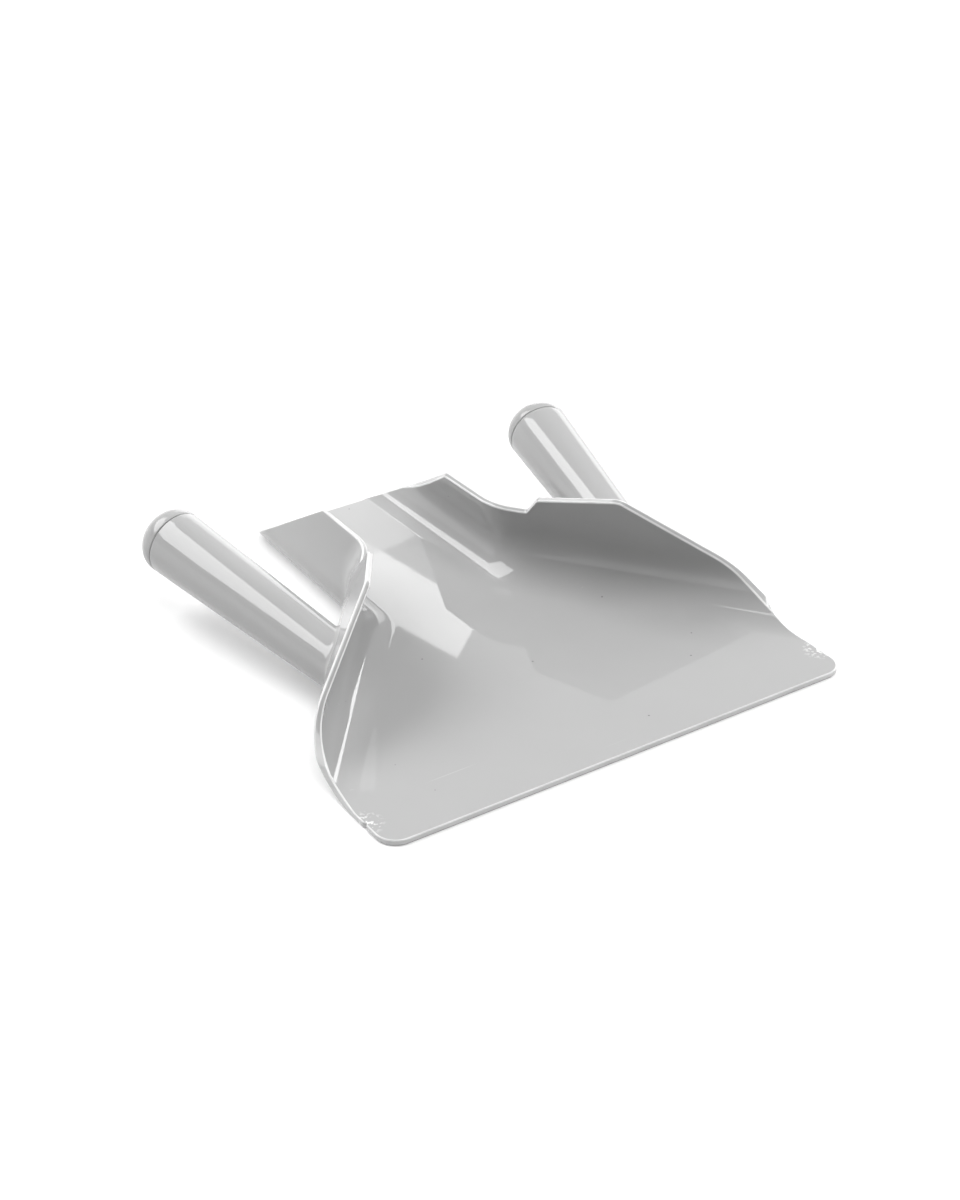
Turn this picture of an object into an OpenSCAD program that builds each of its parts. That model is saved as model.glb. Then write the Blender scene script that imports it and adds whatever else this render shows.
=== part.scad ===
// Two-handled chip scoop: a flat-floored pan whose side walls lean in over the
// load and close to an open chute at the back, with a hollow tapered handle on
// the back of each side wall and a domed cap pressed into each handle.
// Millimetres. +Z is up, the mouth faces -Y and X = 0 is the plane of symmetry.
// The origin lies on the resting surface, halfway along the floor. The sub-parts are
// drawn from the front edge at Y = 0 and moved to the origin together.

/* [Pan] */
// Width of the pan across its front edge
pan_width = 210; // [190:1:230]
// Length of the floor from the front edge to the outlet of the chute
floor_length = 227; // [215:1:245]
// Thickness of the moulded floor and walls
wall = 2.5; // [2:0.1:3]
// Radius of the two front corners
front_corner_r = 8.5; // [4:0.5:14]

/* [Side walls] */
// Angle between a side wall and the centre line
side_angle = 38; // [34:1:41]
// Distance from the front edge to the start of the bend, along the side edge
side_start = 22; // [12:1:26]
// Outer radius of the bend between floor and side wall
side_bend_r = 18.5; // [15:0.5:20]
// Lean of a side wall in over the floor
side_lean = 25.5; // [20:0.5:30]

/* [Chute] */
// Width of the chute between its outermost faces, at the outlet
chute_width = 74; // [68:1:82]
// Angle at which each chute wall closes in towards the outlet
chute_taper = 1.4; // [0:0.1:3]
// Outer radius of the bend between floor and chute wall
chute_bend_r = 11; // [9:0.5:13]
// Lean of a chute wall in over the floor
chute_lean = 19.5; // [15:0.5:23]
// Height of the chute walls
chute_height = 36; // [32:0.5:40]
// Angle between the floor and the sloping cut at the outlet
outlet_angle = 32.5; // [28:0.5:38]

/* [Rim] */
// Height of the shoulder at its front end
shoulder_height = 51; // [46:0.5:55]
// Distance from the front edge to the front end of the shoulder
shoulder_start = 88.5; // [84:0.5:94]
// Length of the shoulder, front to back
shoulder_length = 29.5; // [24:0.5:32]
// Fall of the shoulder from front to back
shoulder_fall = 6.5; // [3:0.5:8]
// Run of the sloping step from the shoulder down to the chute rim
step_run = 7; // [5:0.5:11]
// Angle between the floor and the rim that falls from the shoulder to the side
rim_angle = 47; // [45:0.5:52]
// Radius where the falling rim sweeps out into the side edge
rim_sweep_r = 45; // [30:1:50]
// Height of the rim above the floor of the pan, at the end of that sweep
rim_lip = 0.8; // [0.3:0.1:2]
// Radius on the front corner of the shoulder
shoulder_corner_r = 4; // [2:0.5:6]
// Radius on the corners of the step and on the upper corner of the outlet
step_corner_r = 2; // [1:0.5:3]

/* [Handles] */
// Length of a handle from the side wall to the seam of its cap
handle_length = 94; // [85:1:110]
// Diameter of a handle at the side wall
handle_root_d = 21.4; // [19:0.2:23]
// Diameter of a handle at its free end
handle_end_d = 27.6; // [25:0.2:31]
// Thickness of the handle tube
handle_wall = 2.4; // [1.8:0.1:3]
// Distance from the side edge of the pan in to the axis of a handle, at the side wall
handle_inset = 33.3; // [30:0.1:39]
// Outward splay of a handle from the centre line
handle_splay = 10.8; // [6:0.2:14]
// Rise of a handle towards its free end
handle_rise = 7.6; // [5:0.2:10]
// Weld gap left between a handle and its side wall
root_gap = 0.05; // [0.03:0.01:0.2]

/* [Caps] */
// Height of the dome of a cap
cap_dome_h = 10; // [7:0.5:13]
// Height of the straight skirt below the dome
cap_skirt_h = 2; // [1:0.5:4]
// Open seam between a cap and the end of its handle
cap_seam = 0.3; // [0.2:0.05:0.6]
// Length of the plug inside the handle
plug_length = 12; // [8:1:18]
// Clearance between the plug and the bore of the handle
plug_clearance = 0.1; // [0.05:0.05:0.25]
// Thickness of the plug and of the dome
cap_wall = 2; // [1.6:0.1:2.4]

/* [Hidden] */
$fn = 96;

plastic = [0.74, 0.74, 0.74];
cap_plastic = [0.80, 0.80, 0.80];

half_width = pan_width / 2;
// Distance from the centre line of the floor to the axis of each bend
side_axis = half_width * cos(side_angle) + side_start * sin(side_angle);
chute_axis = (chute_width / 2 - chute_bend_r) * cos(chute_taper) + floor_length * sin(chute_taper);
// Long enough to run right across the pan, and to clear it on every side
reach = pan_width + floor_length;
clear = 5;
top = shoulder_height + 2 * clear;

// Steps of the arc that rounds a corner of an outline
arc_steps = 10;
// Steps of the bend between the floor and a wall
bend_steps = 18;

// Points of the arc that rounds corner b of the run a, b, c with radius r
function unit(v) = v / norm(v);
function corner_arc(a, b, c, r) =
    let (to_a = unit(a - b),
         to_c = unit(c - b),
         half = acos(to_a * to_c) / 2,
         centre = b + unit(to_a + to_c) * r / sin(half),
         first = b + to_a * r / tan(half) - centre,
         turn = cross(first, to_a) < 0 ? 180 - 2 * half : 2 * half - 180)
    [for (i = [0 : arc_steps])
        let (t = turn * i / arc_steps)
        centre + [first.x * cos(t) - first.y * sin(t), first.x * sin(t) + first.y * cos(t)]];

// Outline through corners given as [x, y, radius], rounded where the radius is not 0
function rounded(corners) =
    let (n = len(corners), p = [for (c = corners) [c.x, c.y]])
    [for (i = [0 : n - 1])
        each corners[i].z > 0
            ? corner_arc(p[(i + n - 1) % n], p[i], p[(i + 1) % n], corners[i].z)
            : [p[i]]];

// Section of the space inside a wall: floor, bend about the origin's height, leaning wall.
// inset is 0 for the outer face and the wall thickness for the inner one.
module wall_section(bend_r, lean, inset) {
    r = bend_r - inset;
    bend = [for (i = [0 : bend_steps])
        let (a = (90 + lean) * i / bend_steps - 90)
        [r * cos(a), bend_r + r * sin(a)]];
    rise = top + inset - bend[bend_steps].y;
    polygon(concat(
        [[-reach - inset, inset]],
        bend,
        [bend[bend_steps] + [-rise * tan(lean), rise], [-reach - inset, top + inset]]));
}

// The same section run back from a start along a wall whose outward normal is at the given angle
module wall_sweep(angle, axis, bend_r, lean, inset, start) {
    end = reach + inset;
    rotate([90, 0, angle])
        translate([axis, 0, -end])
            linear_extrude(end - start)
                wall_section(bend_r, lean, inset);
}

// Moves what is drawn from the front edge to the part's own origin
module from_front_edge() {
    translate([0, -floor_length / 2, 0])
        children();
}

module both_sides() {
    children();
    mirror([1, 0, 0])
        children();
}

// Space on the floor side of the right side wall and of the right chute wall
module right_space(inset) {
    wall_sweep(side_angle, side_axis, side_bend_r, side_lean, inset, -reach - inset);
    wall_sweep(chute_taper, chute_axis, chute_bend_r, chute_lean, inset, shoulder_start);
}

// Outline of the pan seen from above
module plan_outline() {
    polygon(rounded([
        [-half_width, 0, front_corner_r],
        [half_width, 0, front_corner_r],
        [half_width, floor_length, 0],
        [-half_width, floor_length, 0]]));
}

// Outline of the pan seen from the side, [Y, Z]: the rim falls from the shoulder to the
// side edge in front, and steps down behind to the chute rim and the sloping outlet
module side_outline() {
    rim_low = wall + rim_lip;
    rim_run = (shoulder_height - rim_low) / tan(rim_angle);
    outlet_run = chute_height / tan(outlet_angle);
    shoulder_end = shoulder_start + shoulder_length;
    polygon(rounded([
        [-clear, 0, 0],
        [floor_length, 0, 0],
        [floor_length - outlet_run, chute_height, step_corner_r],
        [shoulder_end + step_run, chute_height, step_corner_r],
        [shoulder_end, shoulder_height - shoulder_fall, step_corner_r],
        [shoulder_start, shoulder_height, shoulder_corner_r],
        [shoulder_start - rim_run, rim_low, rim_sweep_r],
        [-clear, rim_low, 0]]));
}

// Right half of the pan, trimmed to its outlines from above and from the side
module right_half_pan() {
    difference() {
        intersection() {
            linear_extrude(top)
                plan_outline();
            rotate([90, 0, 90])
                linear_extrude(half_width + clear)
                    side_outline();
            right_space(0);
        }
        right_space(wall);
    }
}

module scoop_pan() {
    color(plastic)
        from_front_edge()
            both_sides()
                right_half_pan();
}

// Frame of the right handle: its axis is +Z from a point on the outermost line of the side bend
module on_right_handle() {
    root_x = half_width - handle_inset;
    root_y = (side_axis + side_bend_r - root_x * cos(side_angle)) / sin(side_angle);
    translate([root_x, root_y, side_bend_r])
        rotate([handle_rise - 90, 0, -handle_splay])
            children();
}

// Radius of the tapered handle at a distance from the side wall
function handle_r(z) = (handle_root_d + (handle_end_d - handle_root_d) * z / handle_length) / 2;

// Tapered tube that starts inside the pan and is then trimmed to the back of the side wall
module right_handle_solid() {
    start = -handle_root_d;
    difference() {
        on_right_handle()
            rotate_extrude()
                polygon([
                    [handle_r(start) - handle_wall, start],
                    [handle_r(start), start],
                    [handle_r(handle_length), handle_length],
                    [handle_r(handle_length) - handle_wall, handle_length]]);
        wall_sweep(side_angle, side_axis + root_gap, side_bend_r, side_lean, 0, -reach);
    }
}

module right_handle() {
    color(plastic)
        from_front_edge()
            right_handle_solid();
}

module left_handle() {
    color(plastic)
        from_front_edge()
            mirror([1, 0, 0])
                right_handle_solid();
}

// Dome of the cap as a quarter ellipse, from the rim of the skirt to the axis
function dome(r, h, base) = [for (i = [0 : arc_steps])
    let (a = 90 * i / arc_steps)
    [r * cos(a), base + h * sin(a)]];

// Hollow cap with a domed top and a plug that fits the bore of the handle
module right_cap_solid() {
    seat = handle_length + cap_seam;
    skirt_top = seat + cap_skirt_h;
    cap_r = handle_r(handle_length);
    plug_r = handle_r(handle_length - plug_length) - handle_wall - plug_clearance;
    on_right_handle()
        rotate_extrude()
            polygon(concat(
                [[plug_r - cap_wall, handle_length - plug_length],
                 [plug_r, handle_length - plug_length],
                 [plug_r, seat],
                 [cap_r, seat]],
                dome(cap_r, cap_dome_h, skirt_top),
                [[0, skirt_top], [plug_r - cap_wall, skirt_top]]));
}

module right_end_cap() {
    color(cap_plastic)
        from_front_edge()
            right_cap_solid();
}

module left_end_cap() {
    color(cap_plastic)
        from_front_edge()
            mirror([1, 0, 0])
                right_cap_solid();
}

scoop_pan();
left_handle();
right_handle();
left_end_cap();
right_end_cap();
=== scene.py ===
"""Looks of the two-handled chip scoop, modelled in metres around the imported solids."""

import math

import bpy
import numpy as np
from mathutils import Matrix, Quaternion, Vector


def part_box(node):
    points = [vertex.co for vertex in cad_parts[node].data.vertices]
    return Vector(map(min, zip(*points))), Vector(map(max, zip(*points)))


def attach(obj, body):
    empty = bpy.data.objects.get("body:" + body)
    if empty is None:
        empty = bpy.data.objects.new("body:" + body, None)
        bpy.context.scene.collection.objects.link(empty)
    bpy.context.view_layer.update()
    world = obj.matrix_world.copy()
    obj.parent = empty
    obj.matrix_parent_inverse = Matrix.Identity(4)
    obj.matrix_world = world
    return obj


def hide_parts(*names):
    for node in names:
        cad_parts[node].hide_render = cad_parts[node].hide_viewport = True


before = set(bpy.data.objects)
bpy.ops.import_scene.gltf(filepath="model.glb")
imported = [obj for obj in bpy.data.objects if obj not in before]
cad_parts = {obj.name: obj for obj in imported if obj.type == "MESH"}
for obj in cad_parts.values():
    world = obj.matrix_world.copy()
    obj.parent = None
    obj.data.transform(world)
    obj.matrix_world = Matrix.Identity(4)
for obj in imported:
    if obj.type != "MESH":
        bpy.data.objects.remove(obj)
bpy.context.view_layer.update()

MM = 0.001
# Lengths too small to matter: points that become one, and a guard against a length of 0
JOIN = 0.002 * MM
TINY = 0.001 * MM

# Pan, from the frame where it gives a size and otherwise as in the part's source
PAN_LOW, PAN_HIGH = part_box("scoop_pan")
HALF_WIDTH = PAN_HIGH.x
FRONT_Y = PAN_LOW.y
FLOOR_LENGTH = PAN_HIGH.y - PAN_LOW.y
WALL = 2.5 * MM
FRONT_CORNER_R = 8.5 * MM

SIDE_ANGLE = math.radians(38)
SIDE_START = 22 * MM
SIDE_BEND_R = 18.5 * MM
SIDE_LEAN = math.radians(25.5)
SIDE_AXIS = HALF_WIDTH * math.cos(SIDE_ANGLE) + SIDE_START * math.sin(SIDE_ANGLE)

CHUTE_WIDTH = 74 * MM
CHUTE_TAPER = math.radians(1.4)
CHUTE_BEND_R = 11 * MM
CHUTE_LEAN = math.radians(19.5)
CHUTE_HEIGHT = 36 * MM
OUTLET_ANGLE = math.radians(32.5)
CHUTE_AXIS = ((CHUTE_WIDTH / 2 - CHUTE_BEND_R) * math.cos(CHUTE_TAPER)
              + FLOOR_LENGTH * math.sin(CHUTE_TAPER))

SHOULDER_HEIGHT = 51 * MM
SHOULDER_START = 88.5 * MM
SHOULDER_LENGTH = 29.5 * MM
SHOULDER_FALL = 6.5 * MM
STEP_RUN = 7 * MM
RIM_ANGLE = math.radians(47)
RIM_SWEEP_R = 45 * MM
RIM_LIP = 0.8 * MM
RIM_LOW = WALL + RIM_LIP
SHOULDER_CORNER_R = 4 * MM
STEP_CORNER_R = 2 * MM

# Moulded softness that the solids leave out
OUTLET_CORNER_R = 3 * MM
WALL_CORNER_R = 24 * MM
CHUTE_BEND_SOFT = 3.5 * MM
RIM_ROUND = 0.8 * MM
FRONT_ROUND = 0.6 * MM
NICK_Y = 15.8 * MM
NICK_WIDTH = 2.4 * MM
NICK_DEPTH = 0.9 * MM

# Handles and caps
HANDLE_LENGTH = 94 * MM
HANDLE_ROOT_R = 10.7 * MM
HANDLE_END_R = 13.8 * MM
HANDLE_WALL = 2.4 * MM
HANDLE_ROOT_X = 71.7 * MM
HANDLE_SPLAY = math.radians(10.8)
HANDLE_RISE = math.radians(7.6)
ROOT_FILLET = 2.4 * MM
ROOT_SINK = 0.3 * MM
SEAM_ROUND = 0.5 * MM
CAP_SEAM = 0.3 * MM
CAP_SKIRT = 2 * MM
CAP_DOME = 10 * MM
PLUG_LENGTH = 12 * MM
PLUG_CLEARANCE = 0.1 * MM


# Shapes of the pan

CORNER_STEPS = 12


def rounded(corners):
    """Points of an open outline through (a, b, radius) corners, rounded where there is a radius."""
    points = [np.array(corner[:2]) for corner in corners]
    outline = []
    for i, (*_, r) in enumerate(corners):
        if not r:
            outline.append(points[i])
            continue
        to_last = points[i - 1] - points[i]
        to_next = points[i + 1] - points[i]
        to_last /= np.linalg.norm(to_last)
        to_next /= np.linalg.norm(to_next)
        half = math.acos(to_last @ to_next) / 2
        middle = to_last + to_next
        centre = points[i] + middle / np.linalg.norm(middle) * r / math.sin(half)
        first = points[i] + to_last * r / math.tan(half) - centre
        last = points[i] + to_next * r / math.tan(half) - centre
        turn = math.pi - 2 * half
        for t in np.linspace(0, 1, CORNER_STEPS):
            outline.append(centre + (first * math.sin((1 - t) * turn)
                                     + last * math.sin(t * turn)) / math.sin(turn))
    return np.array(outline)


def rim_outline():
    """Outline of the rim seen from the side, as rising y and the height there."""
    rim_run = (SHOULDER_HEIGHT - RIM_LOW) / math.tan(RIM_ANGLE)
    outlet_run = CHUTE_HEIGHT / math.tan(OUTLET_ANGLE)
    shoulder_end = SHOULDER_START + SHOULDER_LENGTH
    return rounded([
        (-HALF_WIDTH, RIM_LOW, 0),
        (SHOULDER_START - rim_run, RIM_LOW, RIM_SWEEP_R),
        (SHOULDER_START, SHOULDER_HEIGHT, SHOULDER_CORNER_R),
        (shoulder_end, SHOULDER_HEIGHT - SHOULDER_FALL, STEP_CORNER_R),
        (shoulder_end + STEP_RUN, CHUTE_HEIGHT, STEP_CORNER_R),
        (FLOOR_LENGTH - outlet_run, CHUTE_HEIGHT, OUTLET_CORNER_R),
        (FLOOR_LENGTH, 0, 0)])


RIM = rim_outline()


def wall_bulge(z, bend_r, lean, inset, soft=0):
    """How far a wall stands out from the axis of its bend at a height."""
    r = bend_r - inset + soft
    axis_z = inset + r
    axis_out = (-soft - (axis_z - bend_r) * math.sin(lean)) / math.cos(lean)
    bend_top = axis_z + r * math.sin(lean)
    bent = axis_out + np.sqrt(np.maximum(r ** 2 - (axis_z - z) ** 2, 0))
    straight = axis_out + r * math.cos(lean) - (z - bend_top) * math.tan(lean)
    return np.where(z <= bend_top, bent, straight)


def side_wall_bulge(z, inset):
    return wall_bulge(z, SIDE_BEND_R, SIDE_LEAN, inset)


def chute_wall_bulge(z, inset):
    """The inner face has a softer bend than the outer one."""
    return wall_bulge(z, CHUTE_BEND_R, CHUTE_LEAN, inset, CHUTE_BEND_SOFT if inset else 0)


# Columns of the pan's right half in order round its edge, as shares of each stretch of it.
# Those of the side edge are distances from the front, close together at the nick.
FRONT_COLUMNS = np.linspace(0, 1, 20, endpoint=False)
CORNER_COLUMNS = np.linspace(0, 1, 14, endpoint=False)
NICK_SPREAD = np.array([0.05, 0.15, 0.3, 0.44, 0.5, 0.56])
NICK_COLUMNS = NICK_Y + NICK_WIDTH * np.concatenate([-NICK_SPREAD[::-1], NICK_SPREAD])
EDGE_COLUMNS = np.concatenate([
    np.linspace(FRONT_CORNER_R, NICK_COLUMNS[0], 6, endpoint=False),
    NICK_COLUMNS,
    np.linspace(NICK_COLUMNS[-1], SIDE_START, 6)[1:-1]])
SIDE_COLUMNS = np.linspace(0, 1, 190, endpoint=False)
WALL_CORNER_COLUMNS = np.linspace(0, 1, 36, endpoint=False)
CHUTE_COLUMNS = np.linspace(0, 1, 170)
REAR_COLUMNS = np.linspace(0, 1, 14)[1:]
EDGE_COUNT = len(FRONT_COLUMNS) + len(CORNER_COLUMNS) + len(EDGE_COLUMNS)
WALL_COUNT = len(SIDE_COLUMNS) + len(WALL_CORNER_COLUMNS) + len(CHUTE_COLUMNS)
COLUMN_COUNT = EDGE_COUNT + WALL_COUNT + len(REAR_COLUMNS)

# Direction out of the floor at the columns of the two rounded corners
CORNER_TURNS = -math.pi / 2 * (1 - CORNER_COLUMNS)
WALL_CORNER_TURNS = SIDE_ANGLE + (CHUTE_TAPER - SIDE_ANGLE) * WALL_CORNER_COLUMNS

# How strongly the columns of the chute crowd towards its outlet
CHUTE_CROWDING = 0.75
# A column starts this far in from the foot of its wall, and turns with its neighbours
FLOOR_MARGIN = 2 * MM
EASE_LENGTH = 8 * MM
EASE_STEP = 0.1 * MM

# Rows of a face and of each rounded side of the rim, and samples of the paths they come from
WALL_ROWS = 38
ROUND_ROWS = 4
PATH_SAMPLES = 120
TIP_SAMPLES = 4
# Heights tried for the top of a wall, and how close to the rim counts as there
HEIGHT_SAMPLES = 700
HEIGHT_MARGIN = 2 * MM
RIM_TOUCH = 1e-9


def along(angle, point):
    """Distance of a point along a wall whose outward normal is at the angle."""
    return point[1] * math.cos(angle) - point[0] * math.sin(angle)


def on_wall(angle, out, run):
    """x and y of a point so far out and so far along such a wall."""
    return (out * math.cos(angle) - run * math.sin(angle),
            out * math.sin(angle) + run * math.cos(angle))


def distances_along(points):
    """Distance of each point from the first, along the line through them all."""
    return np.concatenate([[0], np.cumsum(np.linalg.norm(np.diff(points, axis=0), axis=1))])


def wall_places(z, inset):
    """x and y of every wall column at each of its heights z, shaped (columns, heights)."""
    corner_r = WALL_CORNER_R + inset
    spread = math.sin(CHUTE_TAPER - SIDE_ANGLE)

    def meeting(heights):
        """How far out both walls stand, and the centre of the rounded corner between them."""
        side_out = SIDE_AXIS + side_wall_bulge(heights, inset)
        chute_out = CHUTE_AXIS + chute_wall_bulge(heights, inset)
        past_side, past_chute = side_out + corner_r, chute_out + corner_r
        x = (past_side * math.sin(CHUTE_TAPER) - past_chute * math.sin(SIDE_ANGLE)) / spread
        y = (past_chute * math.cos(SIDE_ANGLE) - past_side * math.cos(CHUTE_TAPER)) / spread
        return side_out, chute_out, x, y

    corner_start = len(SIDE_COLUMNS)
    chute_start = corner_start + len(WALL_CORNER_COLUMNS)
    sides, corners, chutes = np.split(z, [corner_start, chute_start])

    side_out, _, x, y = meeting(sides)
    start = along(SIDE_ANGLE, (HALF_WIDTH, SIDE_START))
    run = start + (along(SIDE_ANGLE, (x, y)) - start) * SIDE_COLUMNS[:, None]
    side_x, side_y = on_wall(SIDE_ANGLE, side_out, run)

    _, _, x, y = meeting(corners)
    turn = WALL_CORNER_TURNS[:, None]
    corner_x, corner_y = x - corner_r * np.cos(turn), y - corner_r * np.sin(turn)

    _, chute_out, x, y = meeting(chutes)
    start = along(CHUTE_TAPER, (x, y))
    rear_y = FLOOR_LENGTH - inset / math.tan(OUTLET_ANGLE)
    end = (rear_y - chute_out * math.sin(CHUTE_TAPER)) / math.cos(CHUTE_TAPER)
    crowded = ((1 - CHUTE_CROWDING) * CHUTE_COLUMNS
               + CHUTE_CROWDING * (1 - (1 - CHUTE_COLUMNS) ** 2))
    chute_x, chute_y = on_wall(CHUTE_TAPER, chute_out, start + (end - start) * crowded[:, None])
    return (np.concatenate([side_x, corner_x, chute_x]),
            np.concatenate([side_y, corner_y, chute_y]))


def wall_tops(inset):
    """Height at which each wall column meets the rim or the side of the pan."""
    rise = np.linspace(0, 1, HEIGHT_SAMPLES) ** 2
    heights = inset + (SHOULDER_HEIGHT + HEIGHT_MARGIN - inset) * rise
    x, y = wall_places(np.tile(heights, (WALL_COUNT, 1)), inset)
    over = np.maximum(x - HALF_WIDTH, heights - np.interp(y, RIM[:, 0], RIM[:, 1]))
    over[:, -1] = 1
    tops = np.empty(WALL_COUNT)
    for i, column in enumerate(over):
        k = np.argmax(column > -RIM_TOUCH)
        crossing = slice(k - 1, k + 1)
        tops[i] = np.interp(0, column[crossing], heights[crossing]) if k else heights[0]
    return tops


def column_turns(places):
    """Direction out of the floor at every column, eased where the edge of the floor turns."""
    turns = np.concatenate([
        np.full(len(FRONT_COLUMNS), -math.pi / 2),
        CORNER_TURNS,
        np.zeros(len(EDGE_COLUMNS)),
        np.full(len(SIDE_COLUMNS), SIDE_ANGLE),
        WALL_CORNER_TURNS,
        np.full(len(CHUTE_COLUMNS), CHUTE_TAPER),
        np.full(len(REAR_COLUMNS), math.pi / 2)])
    run = distances_along(places)
    even = np.arange(0, run[-1], EASE_STEP)
    window = int(EASE_LENGTH / EASE_STEP)
    padded = np.pad(np.interp(even, run, turns), window // 2, mode="edge")
    eased = np.convolve(padded, np.ones(window) / window, mode="same")
    eased = np.interp(run, even, eased[window // 2:][:len(even)])
    eased[0], eased[-1] = turns[0], turns[-1]
    return eased


def skin_paths(inset):
    """Path of every column over one face of the pan, from the floor up to the rim."""
    front_end = HALF_WIDTH - FRONT_CORNER_R
    nick = NICK_DEPTH * np.clip(1 - np.abs(EDGE_COLUMNS - NICK_Y) / (NICK_WIDTH / 2), 0, 1)
    edge_x = np.concatenate([
        FRONT_COLUMNS * front_end,
        front_end + FRONT_CORNER_R * np.cos(CORNER_TURNS),
        HALF_WIDTH - nick])
    edge_y = np.concatenate([
        0 * FRONT_COLUMNS,
        FRONT_CORNER_R * (1 + np.sin(CORNER_TURNS)),
        EDGE_COLUMNS])
    rise = np.linspace(0, 1, PATH_SAMPLES - 1) ** 2
    z = inset + (wall_tops(inset)[:, None] - inset) * rise
    x, y = wall_places(z, inset)
    rear_x = x[-1, 0] * (1 - REAR_COLUMNS)
    rear_y = np.full(len(REAR_COLUMNS), y[-1, 0])

    places = np.stack([np.concatenate([edge_x, x[:, 0], rear_x]),
                       np.concatenate([edge_y, y[:, 0], rear_y])], axis=1)
    turns = column_turns(places)
    without_nick = places.copy()
    without_nick[EDGE_COUNT - len(EDGE_COLUMNS):EDGE_COUNT, 0] = HALF_WIDTH
    starts = without_nick - FLOOR_MARGIN * np.stack([np.cos(turns), np.sin(turns)], axis=1)

    paths = np.empty((COLUMN_COUNT, PATH_SAMPLES, 3))
    steps = np.linspace(0, 1, PATH_SAMPLES)[None, :, None]
    paths[:, :, :2] = starts[:, None] + (places - starts)[:, None] * steps
    paths[:, :, 2] = inset
    paths[EDGE_COUNT:EDGE_COUNT + WALL_COUNT, 1:] = np.stack([x, y, z], axis=2)
    return paths


def shortened(paths, cuts, rows):
    """Evenly spaced points of each path, which stops short of its end by its cut."""
    kept = np.empty((len(paths), rows, 3))
    for i, (path, cut) in enumerate(zip(paths, cuts)):
        run = distances_along(path)
        wanted = np.linspace(0, run[-1] - cut, rows)
        for axis in range(3):
            kept[i, :, axis] = np.interp(wanted, run, path[:, axis])
    return kept


def round_over(first, corner, last):
    """Points of the curve that rounds a corner, with its two ends left out."""
    t = np.linspace(0, 1, ROUND_ROWS + 2)[1:-1, None, None]
    return np.swapaxes((1 - t) ** 2 * first + 2 * t * (1 - t) * corner + t ** 2 * last, 0, 1)


def front_to_walls(front, walls):
    """A value for every column, which changes over the first third of the side wall."""
    changed = EDGE_COUNT + len(SIDE_COLUMNS) / 3
    return np.interp(np.arange(COLUMN_COUNT), [EDGE_COUNT, changed], [front, walls])


def pan_columns():
    """Columns of the pan's right half: up the outer face, over the rim and down the inner face."""
    outer, inner = skin_paths(0), skin_paths(WALL)
    outer_tip = outer[:, -1]
    rise = inner[:, -1] - inner[:, -TIP_SAMPLES]
    rise /= np.maximum(np.linalg.norm(rise, axis=1), TINY)[:, None]
    # The inner face stops level with the outer one, so that the rim is square to the wall
    overrun = np.maximum(np.sum((inner[:, -1] - outer_tip) * rise, axis=1), 0)
    inner_tip = shortened(inner, overrun, 2)[:, -1]
    across = inner_tip - outer_tip
    rounds = front_to_walls(FRONT_ROUND, RIM_ROUND)
    across *= (rounds / np.linalg.norm(across, axis=1))[:, None]
    outer_rows = shortened(outer, rounds, WALL_ROWS)
    inner_rows = shortened(inner, overrun + rounds, WALL_ROWS)
    outer_rim, inner_rim = outer_tip + across, inner_tip - across
    return np.concatenate([
        outer_rows,
        round_over(outer_rows[:, -1], outer_tip, outer_rim),
        outer_rim[:, None],
        inner_rim[:, None],
        round_over(inner_rim, inner_tip, inner_rows[:, -1]),
        inner_rows[:, ::-1]], axis=1)


# Modelling

def begin():
    """Leaves edit mode with nothing selected."""
    if bpy.context.object and bpy.context.object.mode != "OBJECT":
        bpy.ops.object.mode_set(mode="OBJECT")
    bpy.ops.object.select_all(action="DESELECT")


def pick_up(piece):
    """Leaves one piece selected and active."""
    begin()
    piece.select_set(True)
    bpy.context.view_layer.objects.active = piece


def edit_all():
    bpy.ops.object.mode_set(mode="EDIT")
    bpy.ops.mesh.select_all(action="SELECT")


def place_vertices(piece, points):
    piece.data.vertices.foreach_set("co", np.ascontiguousarray(points, np.float32).ravel())
    piece.data.update()


def vertices_of(piece):
    points = np.empty(len(piece.data.vertices) * 3, np.float32)
    piece.data.vertices.foreach_get("co", points)
    return points.reshape(-1, 3).astype(float)


def close_up():
    """Joins what touches, fills what is open and turns every face of the piece outwards."""
    edit_all()
    bpy.ops.mesh.remove_doubles(threshold=JOIN)
    bpy.ops.mesh.delete_loose()
    bpy.ops.mesh.select_all(action="SELECT")
    bpy.ops.mesh.fill_holes(sides=0)
    bpy.ops.mesh.normals_make_consistent(inside=False)
    bpy.ops.object.mode_set(mode="OBJECT")
    bpy.ops.object.shade_smooth()


# Wear and painted highlight of the rim at the front edge and along the walls: its outer side, its
# flat, its inner side; at the front edge only the top is painted pale, as its highlight
OUTER_WEAR_AND_SHEEN = (0, 0.9)
FLAT_WEAR_AND_SHEEN = (0.45, 0)
INNER_WEAR_AND_SHEEN = (0.8, 0.9)


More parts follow.
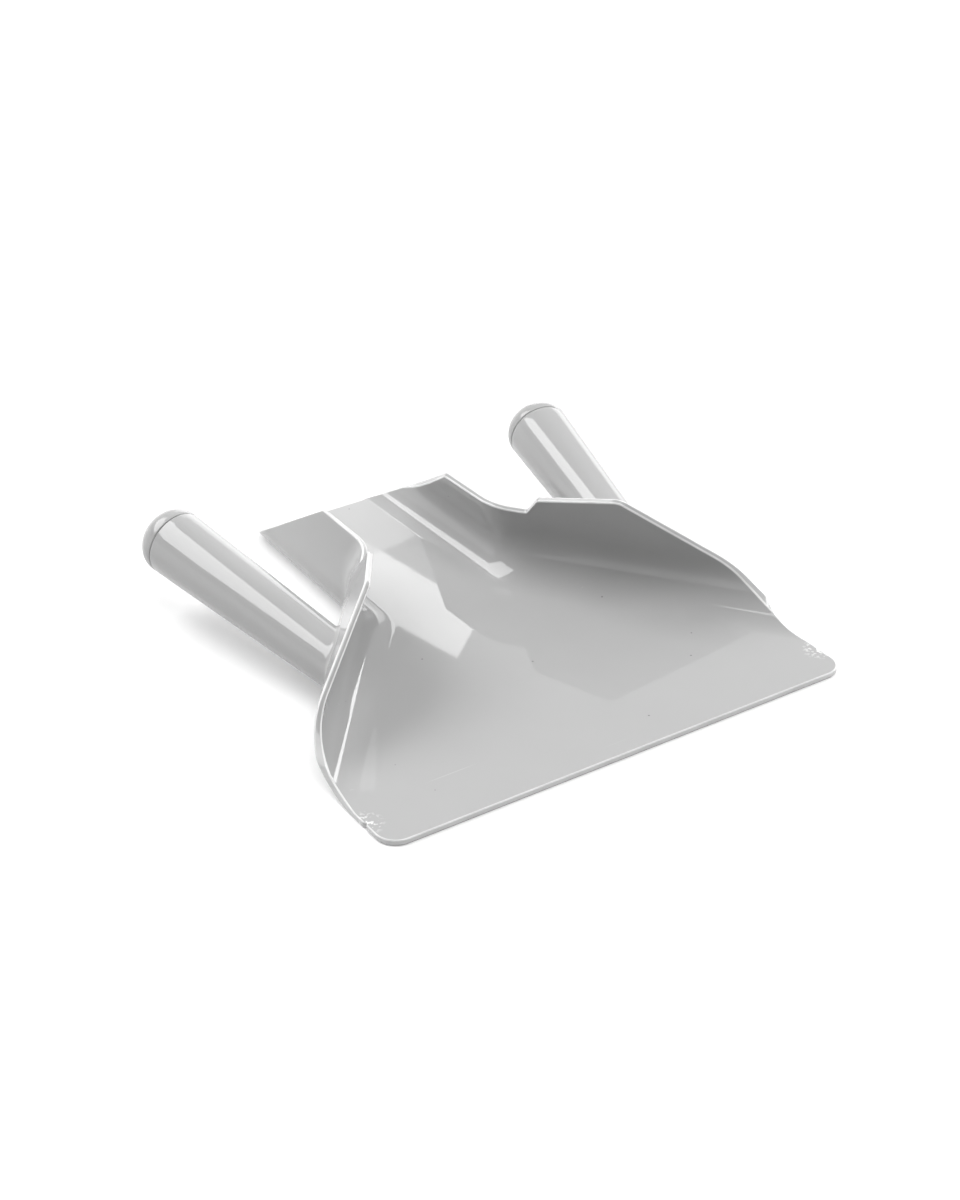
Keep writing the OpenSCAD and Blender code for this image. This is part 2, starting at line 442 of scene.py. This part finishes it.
def mould_pan():
    begin()
    columns = pan_columns()
    count, rows = columns.shape[:2]
    bpy.ops.mesh.primitive_grid_add(x_subdivisions=count - 1, y_subdivisions=rows - 1, size=1)
    pan = bpy.context.object
    pan.name = "moulded_pan"
    columns[[0, -1], :, 0] = 0
    columns[:, :, 1] += FRONT_Y
    place_vertices(pan, np.swapaxes(columns, 0, 1))

    # Paleness along the rim's rounded edges: partly wear, partly a painted highlight where light
    # catches those edges
    worn_and_sheen = np.zeros((rows, count), np.float32)
    flat_start, flat_end = WALL_ROWS + ROUND_ROWS, rows - WALL_ROWS - ROUND_ROWS
    worn_and_sheen[WALL_ROWS:flat_start] = front_to_walls(*OUTER_WEAR_AND_SHEEN)
    worn_and_sheen[flat_start:flat_end] = front_to_walls(*FLAT_WEAR_AND_SHEEN)
    worn_and_sheen[flat_end:rows - WALL_ROWS] = front_to_walls(*INNER_WEAR_AND_SHEEN)
    wear_and_sheen_layer = pan.data.attributes.new("rim_wear_and_sheen", "FLOAT", "POINT")
    wear_and_sheen_layer.data.foreach_set("value", worn_and_sheen.ravel())

    mirror = pan.modifiers.new("left half", "MIRROR")
    mirror.use_clip = True
    mirror.merge_threshold = TINY
    bpy.ops.object.modifier_apply(modifier=mirror.name)
    close_up()
    return pan


TURNED_STEPS = 128
FILLET_STEPS = 8
TUBE_STEPS = 24
SEAM_STEPS = 5
BORE_STEPS = 12
DOME_STEPS = 24

# Along a handle from its root: where the plain tube starts, what follows the wall in full,
# and where it no longer follows the wall at all
TUBE_START = 4 * MM
ROOT_FOLLOWS = 3 * MM
ROOT_REACH = 34 * MM
# The search for the wall runs this far both ways from the root
SEARCH_REACH = 2.5 * HANDLE_ROOT_R
SEARCH_STEPS = 50

HANDLE_ROOT = Vector((HANDLE_ROOT_X,
                      (SIDE_AXIS + SIDE_BEND_R - HANDLE_ROOT_X * math.cos(SIDE_ANGLE))
                      / math.sin(SIDE_ANGLE) + FRONT_Y,
                      SIDE_BEND_R))
HANDLE_PLACE = (Matrix.Translation(HANDLE_ROOT)
                @ Matrix.Rotation(-HANDLE_SPLAY, 4, "Z")
                @ Matrix.Rotation(HANDLE_RISE - math.pi / 2, 4, "X"))


def handle_r(distance):
    """Outer radius of the tapered tube at a distance from its root."""
    return HANDLE_ROOT_R + (HANDLE_END_R - HANDLE_ROOT_R) * distance / HANDLE_LENGTH


def quarter_turn(steps):
    return np.linspace(0, math.pi / 2, steps)


def turned(name, profile):
    """A piece turned about the Z axis from the closed run of (radius, height) points."""
    begin()
    bpy.ops.mesh.primitive_circle_add(vertices=len(profile), fill_type="NOTHING")
    piece = bpy.context.object
    piece.name = name
    radius, height = np.array(profile).T
    place_vertices(piece, np.stack([radius, 0 * radius, height], axis=1))
    edit_all()
    bpy.ops.mesh.spin(steps=TURNED_STEPS, angle=2 * math.pi, center=(0, 0, 0), axis=(0, 0, 1))
    close_up()
    return piece


def wall_distance(points):
    """Distance from each point of the handle's own frame, along its axis, to the side wall."""
    place = np.array(HANDLE_PLACE)
    axis = place[:3, 2]
    start = points @ place[:3, :3].T + place[:3, 3]
    low = np.full(len(points), -SEARCH_REACH)
    high = -low
    for _ in range(SEARCH_STEPS):
        middle = (low + high) / 2
        x, y, z = (start + middle[:, None] * axis).T
        out = x * math.cos(SIDE_ANGLE) + (y - FRONT_Y) * math.sin(SIDE_ANGLE) - SIDE_AXIS
        outside = out > side_wall_bulge(np.maximum(z, 0), 0)
        low, high = np.where(outside, low, middle), np.where(outside, middle, high)
    return high


def turn_handle():
    """The right handle on the Z axis, with its root shaped to the side wall."""
    profile = []
    for t in quarter_turn(FILLET_STEPS):
        h = ROOT_FILLET * (1 - math.cos(t))
        profile.append((handle_r(h) + ROOT_FILLET * (1 - math.sin(t)), h))
    profile += [(handle_r(h), h)
                for h in np.linspace(TUBE_START, HANDLE_LENGTH - SEAM_ROUND, TUBE_STEPS)]
    profile += [(HANDLE_END_R - SEAM_ROUND * (1 - math.cos(t)),
                 HANDLE_LENGTH - SEAM_ROUND * (1 - math.sin(t)))
                for t in quarter_turn(SEAM_STEPS)[1:]]
    profile += [(handle_r(h) - HANDLE_WALL, h) for h in np.linspace(HANDLE_LENGTH, 0, BORE_STEPS)]
    handle = turned("right_moulded_handle", profile)

    points = vertices_of(handle)
    radius = np.hypot(points[:, 0], points[:, 1])
    height = points[:, 2].copy()
    extra = radius - handle_r(height)
    ease = np.clip(1 - height / ROOT_REACH, 0, 1)
    ease = np.where(height < ROOT_FOLLOWS, 1, ease / (1 - ROOT_FOLLOWS / ROOT_REACH))
    height += (wall_distance(points * [1, 1, 0]) - ROOT_SINK) * ease
    points[:, :2] *= ((handle_r(height) + extra) / radius)[:, None]
    points[:, 2] = height
    place_vertices(handle, points)
    return handle


def turn_cap():
    """The right cap on the Z axis of its handle: plug, rounded seam, skirt and dome."""
    plug_end = HANDLE_LENGTH - PLUG_LENGTH
    plug_r = handle_r(plug_end) - HANDLE_WALL - PLUG_CLEARANCE
    seat = HANDLE_LENGTH + CAP_SEAM
    skirt_top = seat + CAP_SKIRT
    profile = [(0, plug_end), (plug_r, plug_end), (plug_r, seat)]
    profile += [(HANDLE_END_R - SEAM_ROUND * (1 - math.sin(t)),
                 seat + SEAM_ROUND * (1 - math.cos(t)))
                for t in quarter_turn(SEAM_STEPS)]
    profile += [(HANDLE_END_R * math.cos(t), skirt_top + CAP_DOME * math.sin(t))
                for t in quarter_turn(DOME_STEPS)]
    profile[-1] = (0, skirt_top + CAP_DOME)
    return turned("right_domed_cap", profile)


def seat_on_handle_axis(piece):
    pick_up(piece)
    piece.matrix_world = HANDLE_PLACE
    bpy.ops.object.transform_apply(location=True, rotation=True, scale=True)


def left_copy(piece, name):
    pick_up(piece)
    bpy.ops.object.duplicate(linked=False)
    copy = bpy.context.object
    copy.name = name
    place_vertices(copy, vertices_of(copy) * [-1, 1, 1])
    close_up()
    return copy


# Finishes

PLASTIC_SHADE = 0.41
PLASTIC_IOR = 1.5
PLASTIC_ROUGH = 0.012

# Noise in the plastic: features per metre, and detail
CLOUDS = (30, 3)
SMEARS = (85, 4)
RIPPLE = (300, 1)
SWELL = (45, 1)
GRIT = (700, 2)
CLOUD_TONE = 0.05
SMEAR_ROUGH = 0.02
SWELL_HEIGHT = 0.006 * MM
# The finer ripple and the scratches, as shares of the height of the swell
RIPPLE_SHARE = 0.12
SCRATCH_SHARE = 0.5

SPECK_SPACING = 14 * MM
SPECK_CORE_R = 0.27 * MM
SPECK_R = 0.45 * MM
SPECK_TONE = 0.5

# Scratches lie in long cells; each set has a direction in degrees and a share of marked cells
SCRATCH_SETS = ((24, 0.07), (-41, 0.06), (78, 0.04))
SCRATCH_CELL = 60 * MM
SCRATCH_GAP = 1.2 * MM
SCRATCH_CORE = 0.1
SCRATCH_EDGE = 0.2
SCRATCH_TONE = 0.07
SCRATCH_ROUGH = 0.16

# Wear and painted highlight on the rim's rounded edges, mottled by the smears, and the gritty scuff
# round each nick
WORN_AND_SHEEN_SHADE = 0.82
WORN_ROUGH = 0.22
WEAR_AND_SHEEN_LEAST = 0.55
WEAR_AND_SHEEN_MOTTLE = 0.75
SCUFF_CORE = 1 * MM
SCUFF_REACH = 8 * MM
SCUFF_GRIT = 0.56


class Wire:
    """A shader socket; arithmetic and comparisons on it add Math nodes."""

    def __init__(self, socket):
        self.socket = socket

    @staticmethod
    def node(tree, kind, settings=None, inputs=None, output=0):
        made = tree.nodes.new("ShaderNode" + kind)
        for name, value in (settings or {}).items():
            setattr(made, name, value)
        for name, value in (inputs or {}).items():
            if isinstance(value, Wire):
                tree.links.new(value.socket, made.inputs[name])
            else:
                made.inputs[name].default_value = value
        return Wire(made.outputs[output]) if made.outputs else None

    def maths(self, operation, *terms):
        tree = self.socket.id_data
        return Wire.node(tree, "Math", {"operation": operation}, dict(enumerate(terms)))

    def larger(self, other):
        return self.maths("MAXIMUM", self, other)

    def __lt__(self, other):
        return self.maths("LESS_THAN", self, other)

    def __gt__(self, other):
        return self.maths("GREATER_THAN", self, other)

    def __add__(self, other):
        return self.maths("ADD", self, other)

    def __sub__(self, other):
        return self.maths("SUBTRACT", self, other)

    def __rsub__(self, other):
        return self.maths("SUBTRACT", other, self)

    def __mul__(self, other):
        return self.maths("MULTIPLY", self, other)

    __radd__ = __add__
    __rmul__ = __mul__


def grey(shade):
    return (shade, shade, shade, 1)


def new_finish(name):
    finish = bpy.data.materials.new(name)
    finish.use_nodes = True
    finish.node_tree.nodes.clear()
    return finish, finish.node_tree


def fade(value, full, none):
    """1 where the value is at or below full, falling to 0 at none."""
    return Wire.node(value.socket.id_data, "MapRange", {"clamp": True}, {
        "Value": value, "From Min": full, "From Max": none, "To Min": 1, "To Max": 0})


def noise(tree, place, scale, detail):
    return Wire.node(tree, "TexNoise", {}, {"Vector": place, "Scale": scale, "Detail": detail})


def moulded_specks(tree, place):
    """Small specks moulded into the plastic, one in every cell of their spacing."""
    distance = Wire.node(tree, "TexVoronoi", {}, {"Vector": place, "Scale": 1 / SPECK_SPACING})
    return fade(distance, SPECK_CORE_R / SPECK_SPACING, SPECK_R / SPECK_SPACING)


def hairlines(tree, place, turn, share):
    """Fine straight scratches in one direction; share is how many of the cells have one."""
    laid = Wire.node(tree, "Mapping", {}, {
        "Vector": place, "Rotation": (0, 0, math.radians(turn)),
        "Scale": (1 / SCRATCH_CELL, 1 / SCRATCH_GAP, 1 / SCRATCH_GAP)})
    distance = Wire.node(tree, "TexVoronoi", {}, {"Vector": laid, "Scale": 1})
    chance = Wire.node(tree, "TexVoronoi", {}, {"Vector": laid, "Scale": 1}, "Color")
    return fade(distance, SCRATCH_CORE, SCRATCH_EDGE) * (chance < share)


def rim_sheen_and_nick_wear(tree, place, smears):
    """How much the pan is lightened and roughened: rubbed and painted with highlights along its
    rim, and scuffed round its two nicks.
    """
    worn_and_sheen = Wire.node(tree, "Attribute", {"attribute_name": "rim_wear_and_sheen"}, output="Fac")
    folded = Wire.node(tree, "VectorMath", {"operation": "ABSOLUTE"}, {0: place}, "Vector")
    to_nick = Wire.node(tree, "VectorMath", {"operation": "DISTANCE"}, {
        0: folded, 1: (HALF_WIDTH, -FRONT_Y - NICK_Y, WALL / 2)}, "Value")
    grit = noise(tree, place, *GRIT)
    scuff = fade(to_nick, SCUFF_CORE, SCUFF_REACH) * (grit > SCUFF_GRIT)
    return (worn_and_sheen * (WEAR_AND_SHEEN_LEAST + WEAR_AND_SHEEN_MOTTLE * smears)).larger(scuff)


def gloss_plastic(name, moulded_pan=False):
    finish, tree = new_finish(name)
    place = Wire.node(tree, "TexCoord", output="Object")
    clouds = noise(tree, place, *CLOUDS)
    smears = noise(tree, place, *SMEARS)
    ripple = noise(tree, place, *RIPPLE)
    swell = noise(tree, place, *SWELL)
    specks = moulded_specks(tree, place)
    sets = [hairlines(tree, place, turn, share) for turn, share in SCRATCH_SETS]
    scratches = sum(sets[1:], sets[0])
    tone = PLASTIC_SHADE * (1 - CLOUD_TONE / 2 + CLOUD_TONE * clouds) * (1 - SPECK_TONE * specks)
    tone = tone + SCRATCH_TONE * scratches
    rough = PLASTIC_ROUGH + SMEAR_ROUGH * smears + SCRATCH_ROUGH * scratches
    # The rim is painted lighter, partly as wear and partly as a painted highlight on its rounded
    # edges
    if moulded_pan:
        wear_and_sheen = rim_sheen_and_nick_wear(tree, place, smears)
        tone = tone + (WORN_AND_SHEEN_SHADE - PLASTIC_SHADE) * wear_and_sheen
        rough = rough + WORN_ROUGH * wear_and_sheen
    colour = Wire.node(tree, "CombineColor", {}, {"Red": tone, "Green": tone, "Blue": tone})
    height = RIPPLE_SHARE * ripple + swell - SCRATCH_SHARE * scratches
    relief = Wire.node(tree, "Bump", {}, {
        "Height": height, "Strength": 1, "Distance": SWELL_HEIGHT})
    surface = Wire.node(tree, "BsdfPrincipled", {}, {
        "Base Color": colour, "Roughness": rough, "IOR": PLASTIC_IOR, "Normal": relief})
    Wire.node(tree, "OutputMaterial", {}, {"Surface": surface})
    return finish


def dress(piece, finish, node):
    piece.data.materials.clear()
    piece.data.materials.append(finish)
    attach(piece, "root")
    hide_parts(node)


pan = mould_pan()
right_handle = turn_handle()
right_cap = turn_cap()
seat_on_handle_axis(right_handle)
seat_on_handle_axis(right_cap)
left_handle = left_copy(right_handle, "left_moulded_handle")
left_cap = left_copy(right_cap, "left_domed_cap")

pan_finish = gloss_plastic("gloss_pan_plastic", moulded_pan=True)
handle_finish = gloss_plastic("gloss_handle_plastic")
cap_finish = gloss_plastic("gloss_cap_plastic")

dress(pan, pan_finish, "scoop_pan")
dress(right_handle, handle_finish, "right_handle")
dress(left_handle, handle_finish, "left_handle")
dress(right_cap, cap_finish, "right_end_cap")
dress(left_cap, cap_finish, "left_end_cap")


# Table, light and camera

TABLE_SIZE = 40
TABLE_DROP = 0.2 * MM
TABLE_SHADE = 0.72
# The table's own white light under the scoop, how far out that goes, and where it is full
TABLE_GLOW = 0.3
LIT_TABLE = 0.35
PLAIN_TABLE = 1.5
BACKDROP_R = 10
BACKDROP_HEIGHT = 2.6
BACKDROP_SIDES = 96


def table_finish():
    """Lit by the lamps near the scoop and plain white further off."""
    finish, tree = new_finish("white_table_top")
    place = Wire.node(tree, "TexCoord", output="Object")
    distance = Wire.node(tree, "VectorMath", {"operation": "LENGTH"}, {0: place}, "Value")
    seen = Wire.node(tree, "LightPath", output="Is Camera Ray")
    for ray in ("Is Glossy Ray", "Is Transmission Ray"):
        seen = seen.larger(Wire.node(tree, "LightPath", output=ray))
    glow = seen * (1 - (1 - TABLE_GLOW) * fade(distance, LIT_TABLE, PLAIN_TABLE))
    matt = Wire.node(tree, "BsdfDiffuse", {}, {"Color": grey(TABLE_SHADE)})
    white = Wire.node(tree, "Emission", {}, {"Color": grey(1), "Strength": glow})
    both = Wire.node(tree, "AddShader", {}, {0: matt, 1: white})
    Wire.node(tree, "OutputMaterial", {}, {"Surface": both})
    return finish


def lay_table():
    finish = table_finish()
    begin()
    bpy.ops.mesh.primitive_plane_add(size=TABLE_SIZE, location=(0, 0, -TABLE_DROP))
    table = bpy.context.object
    table.name = "white_table"
    table.data.materials.append(finish)

    begin()
    bpy.ops.mesh.primitive_cylinder_add(
        vertices=BACKDROP_SIDES, radius=BACKDROP_R, depth=BACKDROP_HEIGHT,
        end_fill_type="NOTHING", location=(0, 0, BACKDROP_HEIGHT / 2))
    backdrop = bpy.context.object
    backdrop.name = "white_backdrop"
    backdrop.visible_diffuse = False
    backdrop.visible_shadow = False
    backdrop.data.materials.append(finish)


# Soft boxes: name, azimuth, elevation, width, length and brightness
SOFT_BOXES = (
    ("left_rear_box", -40, 48, 1.15, 0.78, 5.6),
    ("front_top_box", 172, 68, 1.2, 1.0, 4.0),
    ("right_box", 100, 18, 2.43, 0.34, 5.5))
BOX_DISTANCE = 1.5
BOX_AIM = Vector((0, 0, 0.02))

# White paper that stands on the table behind on the right, and a lamp strip on its plane:
# azimuth that the plane faces and its distance, then azimuths of the paper's two edges
PAPER_FACING = -10
PAPER_DISTANCE = 1.2
PAPER_EDGES = (25, 62)
PAPER_HEIGHT = 0.85
PAPER_BRIGHT = 1.3
STRIP_RUN = 1.028
STRIP_HEIGHT = 0.925
STRIP_TILT = 42
STRIP_WIDTH = 0.3
STRIP_LENGTH = 0.068
STRIP_BRIGHT = 3.2

# Azimuth and elevation of the brightest part of the room and of its ceiling
ROOM_SIDE = (30, 0)
CEILING_SIDE = (-100, 55)
ROOM_LOW = 0.02
ROOM_BRIGHT = 0.9
CEILING_BRIGHT = 0.25

# Camera fitted to the photo; sensor and lens in millimetres
CAMERA_PLACE = (-0.4350, -0.6664, 0.4834)
CAMERA_AZIMUTH = math.radians(-33.667)
CAMERA_ELEVATION = math.radians(30.679)
CAMERA_SENSOR = 36
CAMERA_LENS = 69
CAMERA_NEAR = 0.05


def toward(azimuth, elevation, distance):
    """Point in a direction from the object; azimuth 0 is behind it and 90 to its right."""
    a, e = math.radians(azimuth), math.radians(elevation)
    return Vector((math.sin(a) * math.cos(e), math.cos(a) * math.cos(e), math.sin(e))) * distance


def soft_box(name, place, aim, width, length, brightness, tilt=0):
    begin()
    bpy.ops.object.light_add(type="AREA", location=place)
    lamp = bpy.context.object
    lamp.name = name
    lamp.data.shape = "RECTANGLE"
    lamp.data.size = width
    lamp.data.size_y = length
    lamp.data.energy = brightness * math.pi * width * length
    lamp.rotation_mode = "QUATERNION"
    facing = (aim - place).to_track_quat("-Z", "Y")
    lamp.rotation_quaternion = facing @ Quaternion((0, 0, 1), math.radians(tilt))


def light_scoop():
    for name, azimuth, elevation, width, length, brightness in SOFT_BOXES:
        place = toward(azimuth, elevation, BOX_DISTANCE)
        soft_box(name, place, BOX_AIM, width, length, brightness)

    near = toward(PAPER_FACING, 0, PAPER_DISTANCE)

    def on_paper_plane(run, height):
        return near + toward(PAPER_FACING + 90, 0, run) + Vector((0, 0, height))

    first, last = (PAPER_DISTANCE * math.tan(math.radians(edge - PAPER_FACING))
                   for edge in PAPER_EDGES)
    paper = on_paper_plane((first + last) / 2, PAPER_HEIGHT / 2)
    soft_box("right_rear_paper", paper, paper - near, last - first, PAPER_HEIGHT, PAPER_BRIGHT)
    strip = on_paper_plane(STRIP_RUN, STRIP_HEIGHT)
    soft_box("right_rear_strip", strip, strip - near, STRIP_WIDTH, STRIP_LENGTH, STRIP_BRIGHT,
             -STRIP_TILT)


def light_room():
    world = bpy.data.worlds.new("studio")
    bpy.context.scene.world = world
    world.use_nodes = True
    tree = world.node_tree
    tree.nodes.clear()
    direction = Wire.node(tree, "TexCoord", output="Generated")
    rear, ceiling = (
        Wire.node(tree, "VectorMath", {"operation": "DOT_PRODUCT"}, {
            0: direction, 1: toward(*side, 1)}, "Value").larger(0)
        for side in (ROOM_SIDE, CEILING_SIDE))
    light = ROOM_LOW + ROOM_BRIGHT * rear + CEILING_BRIGHT * ceiling * ceiling * ceiling
    room = Wire.node(tree, "Background", {}, {"Color": grey(1), "Strength": light})
    Wire.node(tree, "OutputWorld", {}, {"Surface": room})


def set_camera():
    begin()
    bpy.ops.object.camera_add(location=CAMERA_PLACE)
    camera = bpy.context.object
    camera.name = "photo_camera"
    camera.data.sensor_width = CAMERA_SENSOR
    camera.data.lens = CAMERA_LENS
    camera.rotation_euler = (math.pi / 2 - CAMERA_ELEVATION, 0, CAMERA_AZIMUTH)
    camera.data.clip_start = CAMERA_NEAR
    bpy.context.scene.camera = camera


lay_table()
light_scoop()
light_room()
set_camera()
bpy.context.scene.view_settings.view_transform = "Standard"
